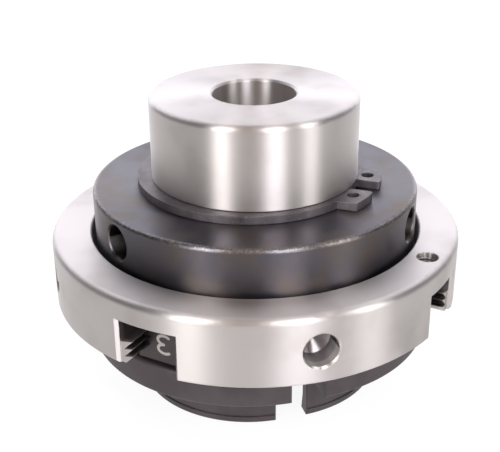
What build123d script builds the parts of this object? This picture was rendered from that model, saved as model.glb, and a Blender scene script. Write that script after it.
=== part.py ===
from build123d import *
import math
import os

# Self-centring four-jaw scroll chuck, driven by tommy bars and standing on its jaw noses.
# Millimetres. Z runs up the bore, z = 0 is the plane of the jaw noses, and jaws 1 to 4
# lie on +Y, -X, -Y and +X.

# ---- heights, stacked upwards from the nose plane ----
nose_height = 13.0  # nose plane to the shoulder of the jaw rim
jaw_rim_thickness = 7.5
seat_height = 0.7  # seat under the slide, which the top jaw bears on
slide_drop = 1.8  # how far the slide hangs below the body's front face
web_thickness = 8.5  # front face to the floor of the ring recess
ring_seat_gap = 0.3
scroll_depth = 2.5
ring_height = 18.7
circlip_play = 0.1  # end play of the ring under the circlip
circlip_groove_width = 2.15
circlip_thickness = 2.0
hub_nose_length = 19.85  # hub above the circlip groove
hub_root = 2.0  # foot of the hub above the slots, one with the body
rim_height = 16.6  # front face to the rim's rear face

# ---- radii, from the axis outwards ----
bore_radius = 10.0
hub_radius = 25.0
circlip_groove_depth = 1.5
ring_running_clearance = 0.05
ring_wall = 14.35
ring_side_gap = 1.1
rim_wall = 9.5
slide_overhang = 2.8  # slide end beyond the scroll ring
jaw_overhang = 1.1  # jaw rim beyond the slide end

# ---- edges of the turned parts ----
bore_chamfer = 0.5
web_relief = 0.5  # the web's inner end, outside the bore
hub_edge_radius = 1.4
rim_edge_radius = 1.55
front_edge_chamfer = 0.5
recess_edge_chamfer = 0.3
ring_edge_radius = 1.1
ring_low_chamfer = 0.4

# ---- jaw slots, and the saw-tooth guide ribs on one wall of each ----
jaw_count = 4  # two slots that cross at right angles
slot_width = 14.5
mouth_bevel = 0.75
rib_setback = 1.6  # rib ends, inside the outer surface
rib_count = 3
rib_pitch = 1.9
rib_rise = 0.5  # rise of a rib's upper flank towards its tip
rib_drop = 0.34  # foot of the lowest rib's flank, below the front face
rib_root_reach = 0.85  # slot wall to the notch between two ribs
rib_tip_reach = 3.2  # slot wall to a rib's tip

# ---- slides and scroll ----
slide_side_clearance = 0.3
rib_clearance = 0.15
slide_top_clearance = 0.5
slide_edge = 0.3
seat_inset = 1.0
scroll_pitch = 4.0
tooth_thickness = 1.4
tooth_flank_clearance = 0.6
tooth_tip_clearance = 0.4
tooth_side_inset = 0.95  # ends of a tooth, inside the slide's sides
tooth_count = 3
tooth_inset = 1.0  # innermost tooth, outside the hub's surface

# ---- top jaws ----
jaw_opening = 4.0  # middle of a jaw's arcs, outside the axis: the jaws are turned when closed
jaw_gap = 7.6
jaw_centre_radius = 9.5  # about the chuck's axis
nose_radius = 27.2
nose_bore_radius = 23.5
nose_dovetail = 0.8
lip_stand = 0.2  # lip outside the nose
lip_height = 1.75
lip_groove_width = 0.3
lip_groove_depth = 0.3
lip_edge_radius = 0.7
jaw_edge_radius = 0.8
jaw_side_bevel = 0.5

# ---- screws ----
screw_radius = 2.5
screw_fit = 0.02
screw_clearance = 0.25
screw_length = 16.0
screw_head_radius = 4.75
screw_head_rim = 0.25
screw_recess = 0.3
screw_socket = 3.0  # across flats
screw_socket_depth = 2.0
screw_end_chamfer = 0.4
tapped_depth_spare = 0.5
stop_socket = 2.5
stop_socket_depth = 2.0
stop_tip_radius = 1.75
stop_tip_length = 1.0
stop_length = 4.0
stop_slide_gap = 1.4  # stop screw's tip above the slide
stop_hole_chamfer = 0.1
stop_rim_share = 0.49  # stop screw's place across the rim wall, from the recess outwards

# ---- holes for the tommy bars ----
bar_radius = 4.0
bar_hole_chamfer = 0.5
drill_half_angle = 59.0
body_hole_depth = 6.0
body_hole_height = 8.0  # above the front face
ring_hole_count = 3
ring_hole_depth = 9.0
ring_hole_height = 13.0  # above the ring's lower face
ring_hole_angle = 6.0

# ---- retaining ring lugs ----
circlip_angle = 7.6  # direction of the circlip's gap
circlip_back_width = 5.1
circlip_front_width = 3.0
lug_reach = 7.3
lug_inner_side = 3.0
lug_outer_side = 10.9
lug_corner_radius = 0.8
lug_hole_radius = 1.5
lug_hole_reach = 3.15  # groove to the middle of a lug hole, along the gap
lug_hole_side = 6.35

# ---- levels and radii that follow ----
jaw_seat_z = nose_height + jaw_rim_thickness
slide_bottom_z = jaw_seat_z + seat_height
front_z = slide_bottom_z + slide_drop
web_top_z = front_z + web_thickness
ring_bottom_z = web_top_z + ring_seat_gap
scroll_root_z = ring_bottom_z + scroll_depth
hub_root_z = scroll_root_z + hub_root
ring_top_z = ring_bottom_z + ring_height
groove_bottom_z = ring_top_z + circlip_play
groove_top_z = groove_bottom_z + circlip_groove_width
hub_top_z = groove_top_z + hub_nose_length
rear_z = front_z + rim_height
slide_top_z = ring_bottom_z - slide_top_clearance
tooth_top_z = scroll_root_z - tooth_tip_clearance

groove_radius = hub_radius - circlip_groove_depth
ring_bore_radius = hub_radius + ring_running_clearance
ring_radius = ring_bore_radius + ring_wall
recess_radius = ring_radius + ring_side_gap
body_radius = recess_radius + rim_wall
slide_end = ring_radius + slide_overhang
jaw_rim_radius = slide_end + jaw_overhang - jaw_opening
lip_radius = nose_radius + lip_stand
outer_screw_place = jaw_opening + (lip_radius + jaw_rim_radius) / 2
inner_screw_place = (jaw_centre_radius + jaw_opening + nose_bore_radius) / 2
jaw_side_offset = jaw_gap / 2 - jaw_opening / math.sqrt(2)  # jaw's side to its arcs' middle
stop_place = recess_radius + stop_rim_share * rim_wall

slot_half = slot_width / 2
slide_half = slot_half - slide_side_clearance
tooth_half_width = slide_half - tooth_side_inset
notch_side = slot_half - rib_root_reach
tip_side = slot_half - rib_tip_reach
flank_rise = rib_pitch + rib_rise
upper_slope = rib_rise / (notch_side - tip_side)
tooth_base = hub_radius + tooth_inset
scroll_width = tooth_thickness + 2 * tooth_flank_clearance
far = 3 * body_radius  # reach of cutters that run past the part
past = 3.0  # how far a drill or cutter starts outside a face


# ---- shared shapes ----
def turned(*corners):
    """Solid of revolution about Z. Each corner is (radius, height, rounding)."""
    points = [(radius, height) for radius, height, rounding in corners]
    roundings = [rounding for radius, height, rounding in corners]
    outline = FilletPolyline(*points, radius=roundings, close=True)
    return revolve(Plane.XZ * make_face(outline), Axis.Z)


def drilled(radius, depth, chamfer):
    """Blind hole along -Z from its mouth at z = 0, with a mouth chamfer and a drill point."""
    point_depth = depth + radius / math.tan(math.radians(drill_half_angle))
    return turned(
        (0, past, 0),
        (radius + chamfer + past, past, 0),
        (radius, -chamfer, 0),
        (radius, -depth, 0),
        (0, -point_depth, 0),
    )


def radial_hole(surface_radius, height, depth, angle):
    """Tommy-bar hole, drilled towards the axis from the surface at that radius."""
    mouth = Plane(origin=(surface_radius, 0, height), z_dir=(1, 0, 0))
    return Rot(0, 0, angle) * (mouth * drilled(bar_radius, depth, bar_hole_chamfer))


def across(left, right, start, end):
    """Prism along +X from start to end. Each half is (side, height) pairs, from its foot up.

    The left half is on +Y and the right half on -Y.
    """
    mirrored = [(-side, height) for side, height in reversed(right)]
    outline = make_face(Polyline(*left, *mirrored, close=True))
    section = Plane(origin=(start, 0, 0), x_dir=(0, 1, 0), z_dir=(1, 0, 0))
    return extrude(section * outline, end - start)


def plan_prism(points, bottom, top):
    """Prism between two heights over a closed outline in the XY plane."""
    outline = make_face(Polyline(*points, close=True))
    return extrude(Plane.XY.offset(bottom) * outline, top - bottom)


def quarter(bottom, top):
    """Wedge along +X, whose sides leave half a jaw gap to each diagonal."""
    apex = jaw_gap / math.sqrt(2)
    return plan_prism([(apex, 0), (apex + far, -far), (apex + far, far)], bottom, top)


def bevelled_quarter(radius, bottom, top):
    """The same wedge, with the corners of its sides and the jaw's arc of that radius bevelled."""
    diagonal = math.pi / 4
    inner = radius - jaw_side_bevel
    side = [
        (inner, diagonal - math.asin(jaw_side_offset / inner)),
        (radius, diagonal - math.asin(jaw_side_offset / radius) - jaw_side_bevel / radius),
    ]
    side.append((far, side[-1][1]))
    left = [(jaw_opening + r * math.cos(turn), r * math.sin(turn)) for r, turn in side]
    right = [(x, -y) for x, y in left]
    return plan_prism([(jaw_gap / math.sqrt(2), 0), *right, *reversed(left)], bottom, top)


def hexagon_socket(across_flats, depth, mouth_z):
    """Hexagonal hole that runs upwards from its mouth."""
    outline = RegularPolygon(across_flats / 2, 6, major_radius=False)
    return extrude(Plane.XY.offset(mouth_z) * outline, depth)


def jaw_angle(number):
    """Direction of a jaw in degrees: jaw 1 on +Y, and on round towards -X."""
    return 360.0 / jaw_count * number


# ---- saw-tooth ribs ----
def rib_points():
    """(tips, notches) of the ribs, from the front face upwards."""
    feet = [front_z - rib_drop + rib_pitch * n for n in range(rib_count)]
    tips = [(tip_side, foot + flank_rise) for foot in feet]
    notches = [(notch_side, foot) for foot in feet]
    return tips, notches


def rib_shift(clearance):
    """(inwards, upwards) shift of the saw-tooth line that keeps the clearance on both flanks."""
    depth = notch_side - tip_side
    lower = math.hypot(depth, flank_rise)
    upper = math.hypot(depth, rib_rise)
    a1, b1 = flank_rise / lower, -depth / lower
    a2, b2 = -rib_rise / upper, depth / upper
    determinant = a1 * b2 - a2 * b1
    return clearance * (b2 - b1) / determinant, clearance * (a1 - a2) / determinant


def all_slots():
    """The four jaw slots: two pairs along X and Y, ribbed on their +Y and -X walls.

    Each slot has a plain mouth with bevelled sides, then the guide.
    """
    tips, notches = rib_points()
    wall_foot = tips[-1][1] - upper_slope * rib_tip_reach
    ribbed = [(notch_side, front_z - past)]
    for tip, notch in zip(tips, notches):
        ribbed += [notch, tip]
    ribbed += [(slot_half, wall_foot), (slot_half, scroll_root_z)]
    plain = [(slot_half, front_z - past), (slot_half, scroll_root_z)]
    mouth_half = slot_half + mouth_bevel
    mouth = math.sqrt(body_radius**2 - mouth_half**2)
    inner = mouth - mouth_bevel
    outer = mouth + past
    outer_half = mouth_half + past
    bevel = plan_prism(
        [(inner, -slot_half), (outer, -outer_half), (outer, outer_half), (inner, slot_half)],
        front_z - past,
        scroll_root_z,
    )
    opening = bevel + across(plain, plain, body_radius - rib_setback, far)
    pair = across(ribbed, plain, -far, far) + opening + Rot(0, 0, 180) * opening
    return pair + Rot(0, 0, 90) * pair


# ---- pieces ----
def hub():
    """Tube above the body's root: bore, circlip groove and rounded end."""
    return turned(
        (bore_radius, hub_root_z, 0),
        (hub_radius, hub_root_z, 0),
        (hub_radius, groove_bottom_z, 0),
        (groove_radius, groove_bottom_z, 0),
        (groove_radius, groove_top_z, 0),
        (hub_radius, groove_top_z, 0),
        (hub_radius, hub_top_z, hub_edge_radius),
        (bore_radius + bore_chamfer, hub_top_z, 0),
        (bore_radius, hub_top_z - bore_chamfer, 0),
    )


def body():
    """Slotted web inside the rim, and the root of the hub that joins its four sectors."""
    blank = turned(
        (bore_radius + web_relief, front_z, 0),
        (recess_radius, front_z, 0),
        (recess_radius, web_top_z, 0),
        (hub_radius, web_top_z, 0),
        (hub_radius, hub_root_z, 0),
        (bore_radius, hub_root_z, 0),
        (bore_radius, scroll_root_z, 0),
        (bore_radius + web_relief, scroll_root_z, 0),
    )
    return blank - all_slots()


def rim():
    """Rim round the ring recess: slot mouths, tommy-bar holes and the stop screw's hole."""
    blank = turned(
        (recess_radius, front_z, 0),
        (body_radius - front_edge_chamfer, front_z, 0),
        (body_radius, front_z + front_edge_chamfer, 0),
        (body_radius, rear_z, rim_edge_radius),
        (recess_radius + recess_edge_chamfer, rear_z, 0),
        (recess_radius, rear_z - recess_edge_chamfer, 0),
    )
    blank -= all_slots()
    for number in range(1, jaw_count + 1):
        between = jaw_angle(number + 0.5)
        blank -= radial_hole(body_radius, front_z + body_hole_height, body_hole_depth, between)
    stop_depth = rear_z - scroll_root_z + stop_hole_chamfer
    stop_hole = drilled(screw_radius + screw_fit, stop_depth, stop_hole_chamfer)
    return blank - Pos(stop_place, 0, rear_z) * stop_hole


def scroll_groove():
    """Spiral groove: its middle line loses one pitch of radius in each turn about +Z."""
    start = tooth_base + scroll_pitch / 2
    first_turn = -math.ceil((ring_radius + scroll_width - start) / scroll_pitch)
    last_turn = math.ceil((start - ring_bore_radius + scroll_width) / scroll_pitch)
    points_per_turn = 24
    count = (last_turn - first_turn) * points_per_turn

    def spiral(offset):
        points = []
        for step in range(count + 1):
            turns = first_turn + step / points_per_turn
            radius = start + offset - scroll_pitch * turns
            angle = 2 * math.pi * turns
            points.append((radius * math.cos(angle), radius * math.sin(angle)))
        return Spline(*points)

    outer = spiral(scroll_width / 2)
    inner = spiral(-scroll_width / 2)
    ends = [Line(outer @ 0, inner @ 0), Line(outer @ 1, inner @ 1)]
    outline = make_face([outer.edge(), inner.edge(), ends[0].edge(), ends[1].edge()])
    return extrude(Plane.XY.offset(ring_bottom_z - past) * outline, scroll_depth + 2 * past)


def scroll_ring():
    """Ring that turns on the hub, above the scroll, with its tommy-bar holes."""
    ring = turned(
        (ring_bore_radius, scroll_root_z, 0),
        (ring_radius, scroll_root_z, 0),
        (ring_radius, ring_top_z, ring_edge_radius),
        (ring_bore_radius + ring_low_chamfer, ring_top_z, 0),
        (ring_bore_radius, ring_top_z - ring_low_chamfer, 0),
    )
    for n in range(ring_hole_count):
        angle = ring_hole_angle + 360.0 / ring_hole_count * n
        ring -= radial_hole(ring_radius, ring_bottom_z + ring_hole_height, ring_hole_depth, angle)
    return ring


def scroll_thread():
    """Spiral thread on the ring's lower face, which drives the slides."""
    band = turned(
        (ring_bore_radius, ring_bottom_z, 0),
        (ring_radius - ring_low_chamfer, ring_bottom_z, 0),
        (ring_radius, ring_bottom_z + ring_low_chamfer, 0),
        (ring_radius, scroll_root_z, 0),
        (ring_bore_radius, scroll_root_z, 0),
    )
    return band - scroll_groove()


def circlip():
    """External retaining ring: widest opposite its gap, with two drilled lugs beside the gap."""
    back = groove_radius + circlip_back_width
    front = groove_radius + circlip_front_width
    band = Pos((front - back) / 2, 0) * Circle((front + back) / 2)
    reach = groove_radius + lug_reach
    lug_width = lug_outer_side - lug_inner_side
    lugs = Sketch()
    for side in (-1, 1):
        middle = side * (lug_inner_side + lug_outer_side) / 2
        sector = Circle(reach) & Pos(reach / 2, middle) * Rectangle(reach, lug_width)
        outer_corners = sector.vertices().sort_by(Axis.X)[-2:]
        lugs += fillet(outer_corners, lug_corner_radius)
    gap = Pos(reach, 0) * Rectangle(2 * reach, 2 * lug_inner_side)
    plan = band + lugs - Circle(groove_radius) - gap
    hole_x = groove_radius + lug_hole_reach
    for side in (-1, 1):
        plan -= Pos(hole_x, side * lug_hole_side) * Circle(lug_hole_radius)
    flat = extrude(Plane.XY.offset(groove_bottom_z) * plan, circlip_thickness)
    return Rot(0, 0, circlip_angle) * flat


def tooth_radii(number):
    """Middle radii of a slide's teeth: each jaw's set is a quarter pitch from the next one's."""
    first = tooth_base + scroll_pitch * ((2 - number) % jaw_count) / jaw_count
    return [first + scroll_pitch * n for n in range(tooth_count)]


def slide_shoulder():
    """Top corner of a slide's half section."""
    return [(slide_half, slide_top_z - slide_edge), (slide_half - slide_edge, slide_top_z)]


def slide_profile():
    """Ribbed half section of a slide: a foot under the body, grooves for the ribs, a full head."""
    inwards, upwards = rib_shift(rib_clearance)
    tips, notches = rib_points()
    foot_top = front_z - rib_clearance
    first_side, first_z = notches[0][0] - inwards, notches[0][1] + upwards
    neck = first_side + (first_z - foot_top) * (notch_side - tip_side) / flank_rise
    profile = [(slide_half, slide_bottom_z), (slide_half, foot_top), (neck, foot_top)]
    for n in range(rib_count):
        if n:
            profile.append((notches[n][0] - inwards, notches[n][1] + upwards))
        profile.append((tips[n][0] - inwards, tips[n][1] + upwards))
    last_side, last_z = profile[-1]
    profile.append((slide_half, last_z - upper_slope * (slide_half - last_side)))
    return profile + slide_shoulder()


def jaw_slide(number):
    """Master jaw: ribbed slide, arc teeth for the scroll on top, a seat for the top jaw below."""
    halves = [slide_profile(), [(slide_half, slide_bottom_z), *slide_shoulder()]]
    if number in (2, 3):
        halves.reverse()
    slide = across(*halves, 0, slide_end)
    seat_half = slide_half - seat_inset
    seat = [(seat_half, jaw_seat_z), (seat_half, slide_bottom_z)]
    slide += across(seat, seat, 0, slide_end - seat_inset)
    for radius in tooth_radii(number):
        arc = Circle(radius + tooth_thickness / 2) - Circle(radius - tooth_thickness / 2)
        arc &= Pos(far / 2, 0) * Rectangle(far, 2 * tooth_half_width)
        slide += extrude(Plane.XY.offset(slide_top_z) * arc, tooth_top_z - slide_top_z)
    slide &= quarter(jaw_seat_z, tooth_top_z)
    centre = Pos(0, 0, slide_top_z) * Cylinder(jaw_centre_radius, far)
    slide -= centre
    tapped_top = nose_height + screw_recess + screw_length + tapped_depth_spare
    depth = tapped_top - jaw_seat_z
    for place in (outer_screw_place, inner_screw_place):
        hole = Cylinder(screw_radius + screw_fit, depth)
        slide -= Pos(place, 0, jaw_seat_z + depth / 2) * hole
    return Rot(0, 0, jaw_angle(number)) * slide


def screw_levels():
    """Heights of a jaw screw's head face, the foot of its rim and the foot of its cone."""
    face = nose_height + screw_recess
    rim = face + screw_head_rim
    return face, rim, rim + screw_head_radius - screw_radius


def screw_hole():
    """Countersunk hole through the top jaw, from its lower face at the shoulder."""
    face, rim, cone = screw_levels()
    clear = screw_radius + screw_clearance
    return turned(
        (0, nose_height - past, 0),
        (screw_head_radius + screw_clearance, nose_height - past, 0),
        (screw_head_radius + screw_clearance, rim, 0),
        (screw_head_radius, rim, 0),
        (clear, cone - screw_clearance, 0),
        (clear, jaw_seat_z + past, 0),
        (0, jaw_seat_z + past, 0),
    )


def top_jaw(number):
    """Quarter-segment jaw: plate and rim, and a nose with an outer lip and an inner dovetail."""
    groove_top = lip_height + lip_groove_width
    disc = turned(
        (0, jaw_seat_z, 0),
        (jaw_rim_radius, jaw_seat_z, jaw_edge_radius),
        (jaw_rim_radius, nose_height, jaw_edge_radius),
        (nose_radius, nose_height, jaw_edge_radius),
        (nose_radius, groove_top, 0),
        (nose_radius - lip_groove_depth, groove_top - lip_groove_width / 2, 0),
        (nose_radius, lip_height, 0),
        (lip_radius, lip_height - lip_stand / 2, 0),
        (lip_radius, 0, lip_edge_radius),
        (nose_bore_radius, 0, 0),
        (nose_bore_radius + nose_dovetail, nose_height / 3, 0),
        (nose_bore_radius + nose_dovetail, nose_height, jaw_edge_radius),
        (0, nose_height, 0),
    )
    rim_part = bevelled_quarter(jaw_rim_radius, nose_height, jaw_seat_z + past)
    nose_part = bevelled_quarter(lip_radius, -past, nose_height)
    segment = Pos(jaw_opening, 0, 0) * disc & (rim_part + nose_part)
    segment -= Cylinder(jaw_centre_radius, far)
    for place in (outer_screw_place, inner_screw_place):
        segment -= Pos(place, 0, 0) * screw_hole()
    return Rot(0, 0, jaw_angle(number)) * segment


def jaw_screw(number, place):
    """Countersunk socket screw from the top jaw's lower side up into the slide."""
    face, rim, cone = screw_levels()
    end = face + screw_length
    screw = turned(
        (0, face, 0),
        (screw_head_radius, face, 0),
        (screw_head_radius, rim, 0),
        (screw_radius, cone, 0),
        (screw_radius, end - screw_end_chamfer, 0),
        (screw_radius - screw_end_chamfer, end, 0),
        (0, end, 0),
    )
    screw -= hexagon_socket(screw_socket, screw_socket_depth, face)
    return Rot(0, 0, jaw_angle(number)) * (Pos(place, 0, 0) * screw)


def stop_screw():
    """Dog-point set screw over jaw 4's slot. Its tip stops the slide's outermost tooth."""
    tip = slide_top_z + stop_slide_gap
    top = tip + stop_length
    screw = turned(
        (0, tip, 0),
        (stop_tip_radius, tip, 0),
        (stop_tip_radius, tip + stop_tip_length, 0),
        (screw_radius, tip + stop_tip_length + screw_radius - stop_tip_radius, 0),
        (screw_radius, top - screw_end_chamfer, 0),
        (screw_radius - screw_end_chamfer, top, 0),
        (0, top, 0),
    )
    screw -= hexagon_socket(stop_socket, stop_socket_depth, top - stop_socket_depth)
    return Pos(stop_place, 0, 0) * screw


# ---- every piece, by name ----
pieces = {
    "body": body(),
    "rim": rim(),
    "hub": hub(),
    "scroll_ring": scroll_ring(),
    "scroll_thread": scroll_thread(),
    "retaining_circlip": circlip(),
    "jaw_stop_screw": stop_screw(),
}
for jaw in range(1, jaw_count + 1):
    pieces[f"jaw_slide_{jaw}"] = jaw_slide(jaw)
    pieces[f"top_jaw_{jaw}"] = top_jaw(jaw)
    pieces[f"jaw_screw_outer_{jaw}"] = jaw_screw(jaw, outer_screw_place)
    pieces[f"jaw_screw_inner_{jaw}"] = jaw_screw(jaw, inner_screw_place)

os.makedirs("parts", exist_ok=True)
for name, piece in pieces.items():
    export_step(piece, f"parts/{name}.step")
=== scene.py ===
import math

import bpy
import numpy as np
from mathutils import Matrix, Vector


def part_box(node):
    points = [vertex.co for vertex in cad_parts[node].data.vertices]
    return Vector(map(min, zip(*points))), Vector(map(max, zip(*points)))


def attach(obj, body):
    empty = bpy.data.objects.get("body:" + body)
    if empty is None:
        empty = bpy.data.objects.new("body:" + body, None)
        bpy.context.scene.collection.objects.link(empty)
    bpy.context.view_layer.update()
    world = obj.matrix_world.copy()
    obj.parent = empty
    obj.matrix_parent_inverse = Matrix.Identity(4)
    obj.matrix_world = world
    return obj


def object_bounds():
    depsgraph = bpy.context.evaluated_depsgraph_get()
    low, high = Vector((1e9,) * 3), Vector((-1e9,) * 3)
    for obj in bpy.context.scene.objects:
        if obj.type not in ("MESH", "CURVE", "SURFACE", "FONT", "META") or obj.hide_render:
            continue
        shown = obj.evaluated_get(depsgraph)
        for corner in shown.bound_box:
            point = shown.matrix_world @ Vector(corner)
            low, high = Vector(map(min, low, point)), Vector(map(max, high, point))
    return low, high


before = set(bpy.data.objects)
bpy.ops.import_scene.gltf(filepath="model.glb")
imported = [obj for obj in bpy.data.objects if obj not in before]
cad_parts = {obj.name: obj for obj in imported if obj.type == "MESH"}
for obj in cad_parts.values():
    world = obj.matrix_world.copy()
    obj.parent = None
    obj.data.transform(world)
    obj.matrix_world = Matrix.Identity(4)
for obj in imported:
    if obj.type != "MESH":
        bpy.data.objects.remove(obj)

bl_info = {
    "name": "Scroll Chuck Finish",
    "version": (1, 0, 0),
    "blender": (4, 5, 0),
    "location": "View3D > Sidebar > Chuck",
    "description": "Finishes the pieces of a four-jaw scroll chuck, and stands it in a studio",
    "category": "Object",
}

# The chuck's axis is Z through the origin, and the jaw noses stand on z = 0.
MM = 0.001
CAD_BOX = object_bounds()
FRONT_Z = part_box("rim")[0].z
REAR_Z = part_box("rim")[1].z
BODY_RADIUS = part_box("rim")[1].x
RING_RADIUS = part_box("scroll_ring")[1].x
RING_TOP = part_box("scroll_ring")[1].z
HUB_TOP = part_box("hub")[1].z
SLIDE_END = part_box("jaw_slide_4")[1].x
SLIDE_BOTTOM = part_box("jaw_slide_4")[0].z
STOP_LOW, STOP_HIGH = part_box("jaw_stop_screw")
STOP_CENTRE = (STOP_LOW + STOP_HIGH) / 2
STOP_RADIUS = (STOP_HIGH.y - STOP_LOW.y) / 2
JAWS = (1, 2, 3, 4)

# Sockets of a Mix node in colour mode.
MIX_A, MIX_B, MIX_OUT = 6, 7, 2


# ---- colour and node helpers ----
def linear(hex_colour):
    """Linear RGB of an sRGB hex colour."""
    values = [int(hex_colour[i : i + 2], 16) / 255 for i in (1, 3, 5)]
    return [v / 12.92 if v <= 0.04045 else ((v + 0.055) / 1.055) ** 2.4 for v in values]


def add(tree, kind, settings=None, sockets=None):
    """Adds a shader node, with its settings and its input sockets, each a value or a socket to link."""
    node = tree.nodes.new("ShaderNode" + kind)
    for name, value in (settings or {}).items():
        setattr(node, name, value)
    for name, value in (sockets or {}).items():
        if isinstance(value, bpy.types.NodeSocket):
            tree.links.new(value, node.inputs[name])
        else:
            node.inputs[name].default_value = value
    return node


def math_node(tree, operation, first, second=0.0, third=0.0):
    """Output of a Math node."""
    values = {0: first, 1: second, 2: third}
    return add(tree, "Math", {"operation": operation}, values).outputs[0]


def between(tree, value, low, high, to_low=0.0, to_high=1.0):
    """Value carried smoothly from the range low..high to the range to_low..to_high."""
    ends = {"Value": value, 1: low, 2: high, 3: to_low, 4: to_high}
    return add(tree, "MapRange", {"interpolation_type": "SMOOTHSTEP"}, ends).outputs[0]


def mixed(tree, share, first, second):
    """Colour that goes from first to second as share goes from 0 to 1."""
    ends = {0: share, MIX_A: first, MIX_B: second}
    return add(tree, "Mix", {"data_type": "RGBA"}, ends).outputs[MIX_OUT]


def rgba(colour):
    """Colour property as the four numbers that a colour socket takes."""
    return (*colour[:3], 1.0)


def noise(tree, where, size_mm, detail=2.0, roughness=0.5):
    """Noise of that grain size, in millimetres, over points in millimetres."""
    inputs = {"Vector": where, "Scale": 1 / size_mm, "Detail": detail, "Roughness": roughness}
    return add(tree, "TexNoise", {}, inputs).outputs["Fac"]


def in_millimetres(tree):
    """Point of the surface in the frame, in millimetres."""
    place = add(tree, "TexCoord").outputs["Object"]
    return add(tree, "VectorMath", {"operation": "SCALE"}, {0: place, "Scale": 1 / MM}).outputs[0]


def measured(tree, point):
    """Distance of a point from the chuck's axis, and its height, in millimetres."""
    flat = add(tree, "VectorMath", {"operation": "MULTIPLY"}, {0: point, 1: (1, 1, 0)}).outputs[0]
    radius = add(tree, "VectorMath", {"operation": "LENGTH"}, {0: flat}).outputs["Value"]
    height = add(tree, "SeparateXYZ", {}, {0: point}).outputs["Z"]
    return radius, height


def turning_lines(tree, radius, height, pitch_mm):
    """Fine rings left by the lathe: noise along the outline, the same all the way round."""
    along = math_node(tree, "ADD", radius, height)
    inputs = {"W": along, "Scale": 1 / pitch_mm, "Detail": 2.0, "Roughness": 0.6}
    return add(tree, "TexNoise", {"noise_dimensions": "1D"}, inputs).outputs["Fac"]


def raised(tree, level, depth_mm, edge_mm=0.25):
    """Normal of a surface whose relief is level times the depth, with its sharp edges eased."""
    eased = add(tree, "Bevel", {"samples": 4}, {"Radius": edge_mm * MM}).outputs[0]
    inputs = {"Height": level, "Distance": depth_mm * MM, "Normal": eased}
    return add(tree, "Bump", {}, inputs).outputs[0]


def material(build, colours):
    """Material whose build function returns the inputs of its Principled shader, made once."""
    name = build.__name__ + "_finish"
    if name in bpy.data.materials:
        return bpy.data.materials[name]
    made = bpy.data.materials.new(name)
    made.use_nodes = True
    tree = made.node_tree
    tree.nodes.clear()
    shader = add(tree, "BsdfPrincipled", {}, build(tree, colours))
    add(tree, "OutputMaterial", {}, {"Surface": shader.outputs[0]})
    return made


def across_marks(tree):
    """Direction along the turning marks; a quarter turn from it draws reflections out across them."""
    return add(tree, "Tangent", {"direction_type": "RADIAL", "axis": "Z"}).outputs[0]


# ---- finishes ----
def turned_steel(tree, colours):
    """Plain carbon steel, fine turned and polished: warm bright grey, with reflections drawn out
    across the turning marks, faint smears of oil and a few duller patches, and painted shade that
    darkens the walls of the holes and slots of the rim."""
    point = in_millimetres(tree)
    radius, height = measured(tree, point)
    lines = turning_lines(tree, radius, height, 0.35)
    smear = noise(tree, point, 14.0, 3.0)
    specks = noise(tree, point, 0.7, 2.0, 0.7)
    dull = between(tree, smear, 0.45, 0.75)
    speck = between(tree, specks, 0.72, 0.8, 0.0, 0.5)
    worn = mixed(tree, dull, rgba(colours.steel), rgba(colours.steel_dull))
    specked = mixed(tree, speck, worn, rgba(colours.steel_stain))
    # Painted shade: inside the rim, more than about 2 mm in from its outer face and between its front
    # and rear faces, the walls of the holes and slots are painted darker.
    sunk = between(tree, radius, BODY_RADIUS / MM - 2.8, BODY_RADIUS / MM - 1.8, 1.0, 0.0)
    below = between(tree, height, REAR_Z / MM - 1.6, REAR_Z / MM - 0.8, 1.0, 0.0)
    above = between(tree, height, FRONT_Z / MM + 0.2, FRONT_Z / MM + 0.6)
    painted_shade = math_node(tree, "MULTIPLY", math_node(tree, "MULTIPLY", below, above), sunk)
    return {
        "Base Color": mixed(tree, painted_shade, specked, rgba(colours.steel_painted_shade)),
        "Metallic": 1.0,
        "Roughness": between(tree, smear, 0.3, 0.8, 0.37, 0.43),
        "Anisotropic": 0.9,
        "Anisotropic Rotation": 0.25,
        "Tangent": across_marks(tree),
        "Normal": raised(tree, lines, 0.004),
    }


def blued_steel(tree, colours):
    """Alloy steel, turned and hot blued: near-black satin, browner where the bluing is thin, and
    worn to bare metal in a thin broken lighter line along the top edge, partly wear and partly a
    painted edge highlight."""
    point = in_millimetres(tree)
    radius, height = measured(tree, point)
    lines = turning_lines(tree, radius, height, 0.45)
    cloud = noise(tree, point, 9.0, 4.0, 0.6)
    grain = noise(tree, point, 0.5, 3.0, 0.7)
    tint = mixed(tree, between(tree, cloud, 0.4, 0.7), rgba(colours.blued), rgba(colours.blued_brown))
    # The lighter broken line along the ring's top edge is partly wear and partly a painted highlight of
    # that edge.
    rim = between(tree, radius, RING_RADIUS / MM - 1.3, RING_RADIUS / MM - 0.3)
    top = between(tree, height, RING_TOP / MM - 1.2, RING_TOP / MM - 0.2)
    edge = math_node(tree, "MULTIPLY", rim, top)
    worn_and_highlit = math_node(tree, "MULTIPLY", edge, between(tree, grain, 0.42, 0.66, 0.1, 0.55))
    pit = between(tree, grain, 0.7, 0.78, 0.0, 0.6)
    coat = mixed(tree, pit, tint, rgba(colours.blued_pit))
    return {
        "Base Color": mixed(tree, worn_and_highlit, coat, rgba(colours.steel_dull)),
        "Metallic": 1.0,
        "Roughness": between(tree, cloud, 0.3, 0.75, 0.3, 0.44),
        "Anisotropic": 0.8,
        "Anisotropic Rotation": 0.25,
        "Tangent": across_marks(tree),
        "Normal": raised(tree, math_node(tree, "ADD", lines, grain), 0.004),
    }


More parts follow.
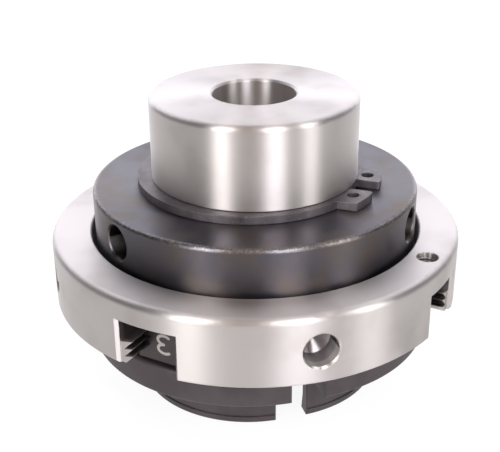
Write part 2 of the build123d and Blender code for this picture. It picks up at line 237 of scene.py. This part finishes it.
def spring_steel(tree, colours):
    """Spring steel, stamped and phosphated: charcoal with a crystalline grain whose glints are
    painted as lighter specks, and a satin sheen where it has been handled."""
    point = in_millimetres(tree)
    grain = noise(tree, point, 0.35, 3.0, 0.8)
    cloud = noise(tree, point, 4.0, 3.0)
    # Painted glints: lighter specks in the grain stand in for its sparkle.
    painted_glint = between(tree, grain, 0.62, 0.72)
    coat = mixed(tree, cloud, rgba(colours.phosphate), rgba(colours.spring))
    return {
        "Base Color": mixed(tree, painted_glint, coat, rgba(colours.steel_dull)),
        "Metallic": 0.8,
        "Roughness": between(tree, grain, 0.3, 0.7, 0.32, 0.55),
        "Normal": raised(tree, grain, 0.02, 0.3),
    }


def hardened_steel(tree, colours):
    """Case-hardened steel, ground and oiled: dark brown-grey with fine straight grinding lines."""
    point = in_millimetres(tree)
    lined = add(tree, "VectorMath", {"operation": "MULTIPLY"}, {0: point, 1: (0.1, 0.1, 1.0)})
    lines = noise(tree, lined.outputs[0], 0.3, 2.0)
    cloud = noise(tree, point, 5.0, 3.0)
    return {
        "Base Color": mixed(tree, cloud, rgba(colours.hardened), rgba(colours.hardened_light)),
        "Metallic": 0.9,
        "Roughness": between(tree, cloud, 0.3, 0.7, 0.36, 0.48),
        "Normal": raised(tree, lines, 0.006, 0.2),
    }


def phosphated_steel(tree, colours):
    """Turned steel, manganese phosphated and oiled: even matte brown-black with a fine grain,
    slightly lighter and smoother along its edges."""
    point = in_millimetres(tree)
    grain = noise(tree, point, 0.4, 4.0, 0.7)
    cloud = noise(tree, point, 8.0, 3.0)
    shade = mixed(tree, between(tree, cloud, 0.35, 0.7), rgba(colours.jaw), rgba(colours.jaw_light))
    spots = between(tree, grain, 0.68, 0.76, 0.0, 0.4)
    return {
        "Base Color": mixed(tree, spots, shade, rgba(colours.phosphate)),
        "Metallic": 0.6,
        "Roughness": between(tree, grain, 0.3, 0.7, 0.42, 0.56),
        "Normal": raised(tree, grain, 0.008, 0.3),
    }


def black_oxide(tree, colours):
    """Alloy-steel screw, cold headed and black oxidised: oily black with a soft gloss."""
    point = in_millimetres(tree)
    grain = noise(tree, point, 0.6, 3.0, 0.6)
    return {
        "Base Color": mixed(tree, grain, rgba(colours.oxide), rgba(colours.oxide_light)),
        "Metallic": 0.9,
        "Roughness": between(tree, grain, 0.3, 0.7, 0.28, 0.42),
        "Normal": raised(tree, grain, 0.006, 0.15),
    }


def etched_mark(tree, colours):
    """Number etched into the oiled steel: frosted light grey."""
    point = in_millimetres(tree)
    grain = noise(tree, point, 0.25, 2.0, 0.7)
    return {
        "Base Color": mixed(tree, grain, rgba(colours.etched), rgba(colours.steel_dull)),
        "Metallic": 0.3,
        "Roughness": between(tree, grain, 0.3, 0.7, 0.55, 0.7),
        "Normal": raised(tree, grain, 0.01, 0.05),
    }


# Share of the paper's white that comes from within.
PAPER_GLOW = 0.92


def floor_paper(tree, colours):
    """Matt white background paper lit from within, as on a light table, so that shadows on it
    stay faint. It is clear from below."""
    place = add(tree, "TexCoord").outputs["Object"]
    inputs = {"Vector": place, "Scale": 3.0, "Detail": 1.0}
    cloud = add(tree, "TexNoise", {}, inputs).outputs["Fac"]
    paper = mixed(tree, cloud, rgba(colours.floor), rgba(colours.floor_shade))
    backing = add(tree, "NewGeometry").outputs["Backfacing"]
    return {
        "Base Color": rgba(colours.floor_grey),
        "Roughness": 0.9,
        "Emission Color": paper,
        "Emission Strength": PAPER_GLOW,
        "Alpha": math_node(tree, "SUBTRACT", 1.0, backing),
    }


# ---- surfaces ----
def grid_faces(rows, columns, wrap=False):
    """Quads of a grid of points, row by row. With wrap, the last column joins the first."""
    row = np.arange(rows - 1)[:, None]
    column = np.arange(columns if wrap else columns - 1)[None, :]
    following = (column + 1) % columns
    corners = (row * columns + column, row * columns + following)
    ahead = ((row + 1) * columns + following, (row + 1) * columns + column)
    return np.stack([*corners, *ahead], axis=-1).reshape(-1, 4)


def mesh_object(name, patches, build, colours, smooth=True):
    """Object made of several (points, quads) patches, with one material."""
    counts = np.cumsum([0] + [len(points) for points, quads in patches])
    points = np.concatenate([points for points, quads in patches])
    quads = np.concatenate([quads + start for (_, quads), start in zip(patches, counts)])
    mesh = bpy.data.meshes.new(name)
    mesh.from_pydata(points.tolist(), [], quads.tolist())
    mesh.validate()
    mesh.polygons.foreach_set("use_smooth", np.full(len(mesh.polygons), smooth))
    made = bpy.data.objects.new(name, mesh)
    bpy.context.scene.collection.objects.link(made)
    mesh.materials.append(material(build, colours))
    return made


def arc(centre, width, height, start, end, count=33):
    """Points of an upright ellipse's arc, of those half sizes, from one angle in degrees to another."""
    turn = np.radians(np.linspace(start, end, count))
    return np.stack([centre[0] + width * np.cos(turn), centre[1] + height * np.sin(turn)], axis=1)


def line(start, end, count=17):
    """Points of a straight stroke in the plane."""
    share = np.linspace(0, 1, count)[:, None]
    return np.array(start) * (1 - share) + np.array(end) * share


# Each stroke of a number stands this proud of the slide, and each next one a little more, so
# that where two cross their faces don't lie in one plane.
STROKE_RISE = 0.015 * MM
LAYER_RISE = 0.005 * MM

# Strokes of each number, in a box one unit high about its middle.
STROKES = {
    1: [line((-0.22, 0.24), (0.06, 0.5)), line((0.06, 0.5), (0.06, -0.5))],
    2: [
        np.concatenate([arc((0, 0.19), 0.35, 0.31, 165, -35), line((0.26, -0.01), (-0.36, -0.5))]),
        line((-0.36, -0.5), (0.36, -0.5)),
    ],
    3: [arc((0, 0.25), 0.36, 0.25, 150, -97), arc((0, -0.25), 0.36, 0.25, 97, -150)],
    4: [
        line((0.17, -0.5), (0.17, 0.5)),
        line((0.17, 0.5), (-0.38, -0.2)),
        line((-0.38, -0.2), (0.38, -0.2)),
    ],
}


def pen_stroke(path, width, proud, place):
    """Patch of one stroke: a low bar whose half width is that of a round pen, which near both ends
    is the square root of r squared less the distance from the pen's last centre squared. place
    carries (along, across, out) to the frame."""
    step = np.linalg.norm(np.diff(path, axis=0), axis=1)
    corners = np.concatenate([[0.0], np.cumsum(step)])
    length = corners[-1]
    tip = np.linspace(0, 1, 9) ** 2 * width
    run = np.unique(np.clip(np.concatenate([corners, tip, length - tip]), 0, length))
    x = np.interp(run, corners, path[:, 0])
    y = np.interp(run, corners, path[:, 1])
    along = np.stack([np.gradient(x, run), np.gradient(y, run)], axis=1)
    along /= np.linalg.norm(along, axis=1)[:, None]
    side = np.stack([-along[:, 1], along[:, 0]], axis=1)
    reach = np.clip(np.minimum(run, length - run) / (width / 2), 0.02, 1)
    half = width / 2 * np.sqrt(1 - (1 - reach) ** 2)
    across = np.array([-1.0, -0.92, 0.92, 1.0])
    out = np.array([-proud, proud, proud, -proud])
    middle = np.stack([x, y], axis=1)[:, None, :]
    flat = middle + side[:, None, :] * (half[:, None] * across)[:, :, None]
    lift = np.broadcast_to(out, flat.shape[:2])[:, :, None]
    points = np.concatenate([flat, lift], axis=2).reshape(-1, 3) @ place[:, :3].T + place[:, 3]
    return points, grid_faces(len(x), 4, wrap=True)


def jaw_direction(number):
    """Outward direction of a jaw: jaw 1 on +Y, and on round towards -X."""
    turn = math.radians(90.0 * number)
    return np.array([math.cos(turn), math.sin(turn), 0.0])


def jaw_number(number, marks, colours):
    """Number on the outer end of a slide, upside down, so that it reads with the jaws upwards."""
    outward = jaw_direction(number)
    right = np.cross((0.0, 0.0, 1.0), outward)
    middle = outward * SLIDE_END + np.array([0.0, 0.0, SLIDE_BOTTOM + marks.number_rise])
    size = marks.number_height
    place = np.stack([-right * size, (0.0, 0.0, -size), outward, middle], axis=1)
    pen = marks.number_line / size
    layers = enumerate(STROKES[number], 1)
    patches = [pen_stroke(path, pen, STROKE_RISE + LAYER_RISE * n, place) for n, path in layers]
    return mesh_object(f"jaw_number_{number}", patches, etched_mark, colours, smooth=False)


def thread_ridge(marks, colours):
    """Thread of the stop screw's hole: a V-shaped ridge carried up a helix, that stands in from the
    hole's wall by its depth and fades to nothing in the last quarter turn at both ends."""
    pitch, depth = marks.thread_pitch, marks.thread_depth
    low, high = STOP_HIGH.z + pitch / 2, REAR_Z - pitch
    turns = (high - low) / pitch
    turn = np.linspace(0, turns, int(turns * 48) + 1)
    fade = np.clip(np.minimum(turn, turns - turn) * 4, 0.02, 1)
    inwards = np.array([-0.1, 0.85, 1.0, 0.85, -0.1]) * depth
    rise = np.array([-0.48, -0.12, 0.0, 0.12, 0.48]) * pitch
    reach = STOP_RADIUS - inwards[None, :] * fade[:, None]
    angle = 2 * np.pi * turn[:, None]
    x = STOP_CENTRE.x + reach * np.cos(angle)
    y = STOP_CENTRE.y + reach * np.sin(angle)
    z = low + pitch * turn[:, None] + rise[None, :] * fade[:, None]
    points = np.stack([x, y, z], axis=-1).reshape(-1, 3)
    patch = (points, grid_faces(len(turn), 5, wrap=True))
    return mesh_object("stop_hole_thread", [patch], turned_steel, colours)


def dress(nodes, build, colours):
    """Gives CAD nodes a finish."""
    for name in nodes:
        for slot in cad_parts[name].material_slots:
            slot.material = material(build, colours)


# ---- settings ----
def colour(name, description, hex_colour):
    """Colour setting, whose default is given as sRGB hex."""
    return bpy.props.FloatVectorProperty(
        name=name,
        description=description,
        subtype="COLOR",
        size=3,
        min=0.0,
        max=1.0,
        default=linear(hex_colour),
    )


def size(name, description, metres):
    """Length setting in metres."""
    return bpy.props.FloatProperty(
        name=name, description=description, unit="LENGTH", min=0.0, default=metres, precision=5
    )


def degrees(name, description, value):
    """Angle setting, whose default is given in degrees."""
    return bpy.props.FloatProperty(
        name=name, description=description, subtype="ANGLE", default=math.radians(value)
    )


class ChuckColours(bpy.types.PropertyGroup):
    """Colours of the chuck's finishes, of the floor and of the air."""

    steel: colour("Steel", "Turned and polished steel", "#C0BAB8")
    # Also the colour of the lighter line along the scroll ring's top edge, partly wear and partly a
    # painted highlight, and of the painted glints in the spring steel.
    steel_dull: colour("Dull steel", "Duller patches and rubbed edges", "#B4ADAA")
    steel_stain: colour("Steel stain", "Specks in the turned steel", "#8E857F")
    # Colour of the painted shade on the walls of the rim's holes and slots.
    steel_painted_shade: colour("Steel inside", "Walls of the rim's holes and slots", "#948E8E")
    blued: colour("Bluing", "Blued steel", "#57545A")
    blued_brown: colour("Thin bluing", "Browner patches of the bluing", "#5F5753")
    blued_pit: colour("Bluing pits", "Specks in the bluing", "#8C857F")
    phosphate: colour("Phosphate", "Phosphate coating at its darkest", "#2F2B2C")
    spring: colour("Spring steel", "Phosphated spring steel", "#857F83")
    hardened: colour("Hardened steel", "Slides, at their darkest", "#433D3E")
    hardened_light: colour("Hardened steel, light", "Slides, at their lightest", "#524B4C")
    jaw: colour("Jaw", "Phosphated jaws", "#443D40")
    jaw_light: colour("Jaw, light", "Lighter patches of the jaws", "#4D4648")
    oxide: colour("Black oxide", "Screws, at their darkest", "#2B2B2E")
    oxide_light: colour("Black oxide, light", "Screws, at their lightest", "#434246")
    etched: colour("Etched", "Jaw numbers", "#8F8989")
    floor: colour("Floor", "Background paper", "#FFFFFF")
    floor_shade: colour("Floor shade", "Cloud in the background paper", "#FBFAFA")
    floor_grey: colour("Floor grey", "What the paper reflects", "#5A5A5A")
    air: colour("Air", "Light that comes from all round", "#F4EFEC")


class ChuckMarks(bpy.types.PropertyGroup):
    """Sizes of the numbers and of the stop hole's thread."""

    number_height: size("Number height", "Height of a jaw number", 4.6 * MM)
    number_line: size("Number line", "Width of its line", 0.75 * MM)
    number_rise: size("Number rise", "Middle of a number above the slide's lower face", 5.4 * MM)
    thread_pitch: size("Thread pitch", "Pitch of the stop screw's thread", 0.8 * MM)
    thread_depth: size("Thread depth", "Height of its ridge above the hole's wall", 0.42 * MM)


class ChuckStudio(bpy.types.PropertyGroup):
    """Camera, floor and air."""

    camera_bearing: degrees("Camera bearing", "Camera's place, from -Y towards +X", 28.87)
    camera_distance: size("Camera distance", "From the chuck's axis, over the floor", 223.06 * MM)
    camera_height: size("Camera height", "Above the floor", 143.0 * MM)
    heading: degrees("Heading", "Direction that the camera faces, from +Y towards -X", 29.2)
    pitch: degrees("Pitch", "How far the camera looks down", 25.31)
    roll: degrees("Roll", "How far the camera leans to its right", 0.589)
    lens: bpy.props.FloatProperty(
        name="Lens", description="Focal length", unit="CAMERA", default=70.81
    )
    floor_size: size("Floor size", "Side of the floor", 8.0)
    air_glow: bpy.props.FloatProperty(
        name="Air glow", description="Strength of the light from all round", min=0.0, default=0.12
    )


# Lights, by bearing from the camera's side, to its right, and by height above the horizon, both
# in degrees. Sizes and distances are in metres, and glow is the light's radiance.
LIGHTS = (
    ("left_strip", -34.5, 24, 0.32, 1.00, 1.1, 8.0, "#FFFFFF"),
    ("right_strip", 21.4, 24, 0.38, 1.00, 1.1, 7.5, "#F6F8FF"),
    ("far_right_strip", 61, 24, 0.30, 1.00, 1.1, 6.0, "#FFFFFF"),
    ("warm_card", 6, 48, 1.20, 1.00, 1.1, 0.9, "#F4DDCB"),
    ("backdrop", 180, 36, 2.60, 2.00, 1.3, 1.9, "#F6F7FF"),
)


def studio_light(name, bearing, elevation, width, height, distance, glow, hex_colour, studio):
    """Rectangular soft light that faces the chuck's middle and that no camera sees."""
    turn = studio.camera_bearing + math.radians(bearing)
    rise = math.radians(elevation)
    away = Vector((math.sin(turn) * math.cos(rise), -math.cos(turn) * math.cos(rise), math.sin(rise)))
    data = bpy.data.lights.new(name, "AREA")
    data.shape = "RECTANGLE"
    data.size = width
    data.size_y = height
    data.energy = glow * math.pi * width * height
    data.color = linear(hex_colour)
    made = bpy.data.objects.new(name, data)
    made.location = Vector((0, 0, HUB_TOP / 2)) + away * distance
    made.rotation_euler = (-away).to_track_quat("-Z", "Y").to_euler()
    made.visible_camera = False
    bpy.context.scene.collection.objects.link(made)


def studio_camera(studio):
    """Camera with the bearing, heading, pitch and roll of the settings."""
    data = bpy.data.cameras.new("camera")
    data.sensor_width = 36.0
    data.lens = studio.lens
    data.clip_start = 0.01
    data.clip_end = 20.0
    right = Vector((math.cos(studio.heading), math.sin(studio.heading), 0))
    level = Vector((-math.sin(studio.heading), math.cos(studio.heading), 0))
    forward = level * math.cos(studio.pitch) - Vector((0, 0, math.sin(studio.pitch)))
    up = right.cross(forward)
    side = right * math.cos(studio.roll) - up * math.sin(studio.roll)
    top = up * math.cos(studio.roll) + right * math.sin(studio.roll)
    bearing = studio.camera_bearing
    place = Vector((math.sin(bearing), -math.cos(bearing), 0)) * studio.camera_distance
    place.z = studio.camera_height
    made = bpy.data.objects.new("camera", data)
    made.matrix_world = Matrix.Translation(place) @ Matrix((side, top, -forward)).transposed().to_4x4()
    bpy.context.scene.collection.objects.link(made)
    bpy.context.scene.camera = made


# ---- operators ----
class CHUCK_OT_body(bpy.types.Operator):
    """Finish the body, its rim and the hub as turned steel"""

    bl_idname = "chuck.body"
    bl_label = "Body and hub"

    def execute(self, context):
        dress(("body", "rim", "hub"), turned_steel, context.scene.chuck_colours)
        return {"FINISHED"}


class CHUCK_OT_ring(bpy.types.Operator):
    """Finish the scroll ring and its thread as blued steel"""

    bl_idname = "chuck.ring"
    bl_label = "Scroll ring"

    def execute(self, context):
        dress(("scroll_ring", "scroll_thread"), blued_steel, context.scene.chuck_colours)
        return {"FINISHED"}


class CHUCK_OT_circlip(bpy.types.Operator):
    """Finish the circlip as phosphated spring steel"""

    bl_idname = "chuck.circlip"
    bl_label = "Circlip"

    def execute(self, context):
        dress(("retaining_circlip",), spring_steel, context.scene.chuck_colours)
        return {"FINISHED"}


class CHUCK_OT_slides(bpy.types.Operator):
    """Finish the slides as hardened steel"""

    bl_idname = "chuck.slides"
    bl_label = "Slides"

    def execute(self, context):
        nodes = [f"jaw_slide_{number}" for number in JAWS]
        dress(nodes, hardened_steel, context.scene.chuck_colours)
        return {"FINISHED"}


class CHUCK_OT_top_jaws(bpy.types.Operator):
    """Finish the top jaws as phosphated steel"""

    bl_idname = "chuck.top_jaws"
    bl_label = "Top jaws"

    def execute(self, context):
        nodes = [f"top_jaw_{number}" for number in JAWS]
        dress(nodes, phosphated_steel, context.scene.chuck_colours)
        return {"FINISHED"}


class CHUCK_OT_screws(bpy.types.Operator):
    """Finish the jaw screws and the stop screw in black oxide"""

    bl_idname = "chuck.screws"
    bl_label = "Screws"

    def execute(self, context):
        nodes = ["jaw_stop_screw"]
        nodes += [f"jaw_screw_{row}_{number}" for row in ("outer", "inner") for number in JAWS]
        dress(nodes, black_oxide, context.scene.chuck_colours)
        return {"FINISHED"}


class CHUCK_OT_numbers(bpy.types.Operator):
    """Etch the jaw numbers 1 to 4 on the outer ends of the slides"""

    bl_idname = "chuck.numbers"
    bl_label = "Jaw numbers"

    def execute(self, context):
        scene = context.scene
        for number in JAWS:
            made = jaw_number(number, scene.chuck_marks, scene.chuck_colours)
            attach(made, f"jaw_{number}")
        return {"FINISHED"}


class CHUCK_OT_stop_thread(bpy.types.Operator):
    """Cut the thread of the stop screw's hole"""

    bl_idname = "chuck.stop_thread"
    bl_label = "Stop hole thread"

    def execute(self, context):
        scene = context.scene
        made = thread_ridge(scene.chuck_marks, scene.chuck_colours)
        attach(made, "chassis")
        return {"FINISHED"}


class CHUCK_OT_studio(bpy.types.Operator):
    """Lay the floor, hang the lights and place the camera"""

    bl_idname = "chuck.studio"
    bl_label = "Studio"

    def execute(self, context):
        scene = context.scene
        studio = scene.chuck_studio
        half = studio.floor_size / 2
        corners = np.array([(-1, -1), (1, -1), (-1, 1), (1, 1)]) * half
        level = np.full((4, 1), CAD_BOX[0].z - 0.05 * MM)
        patch = (np.concatenate([corners, level], axis=1), np.array([[0, 1, 3, 2]]))
        floor = mesh_object("floor", [patch], floor_paper, scene.chuck_colours, smooth=False)
        for row in LIGHTS:
            studio_light(*row, studio)
        world = bpy.data.worlds.new("studio_air")
        world.use_nodes = True
        air = world.node_tree.nodes["Background"]
        air.inputs["Color"].default_value = rgba(scene.chuck_colours.air)
        air.inputs["Strength"].default_value = studio.air_glow
        scene.world = world
        scene.view_settings.view_transform = "Standard"
        studio_camera(studio)
        return {"FINISHED"}


STEPS = (
    CHUCK_OT_body,
    CHUCK_OT_ring,
    CHUCK_OT_circlip,
    CHUCK_OT_slides,
    CHUCK_OT_top_jaws,
    CHUCK_OT_screws,
    CHUCK_OT_numbers,
    CHUCK_OT_stop_thread,
    CHUCK_OT_studio,
)


SETTINGS = {
    "chuck_colours": ChuckColours,
    "chuck_marks": ChuckMarks,
    "chuck_studio": ChuckStudio,
}


class CHUCK_PT_panel(bpy.types.Panel):
    """Steps and settings of the chuck's finish"""

    bl_label = "Scroll chuck"
    bl_space_type = "VIEW_3D"
    bl_region_type = "UI"
    bl_category = "Chuck"

    def draw(self, context):
        for step in STEPS:
            self.layout.operator(step.bl_idname)
        for name in SETTINGS:
            group = getattr(context.scene, name)
            box = self.layout.box()
            for field in group.__annotations__:
                box.prop(group, field)


def register():
    """Registers the settings, the steps and the panel."""
    for name, group in SETTINGS.items():
        bpy.utils.register_class(group)
        setattr(bpy.types.Scene, name, bpy.props.PointerProperty(type=group))
    for step in (*STEPS, CHUCK_PT_panel):
        bpy.utils.register_class(step)


def unregister():
    """Removes what register added."""
    for step in reversed((*STEPS, CHUCK_PT_panel)):
        bpy.utils.unregister_class(step)
    for name, group in SETTINGS.items():
        delattr(bpy.types.Scene, name)
        bpy.utils.unregister_class(group)


def main():
    """Makes every piece and the studio."""
    register()
    for step in STEPS:
        group, name = step.bl_idname.split(".")
        getattr(getattr(bpy.ops, group), name)()


if __name__ == "__main__":
    main()
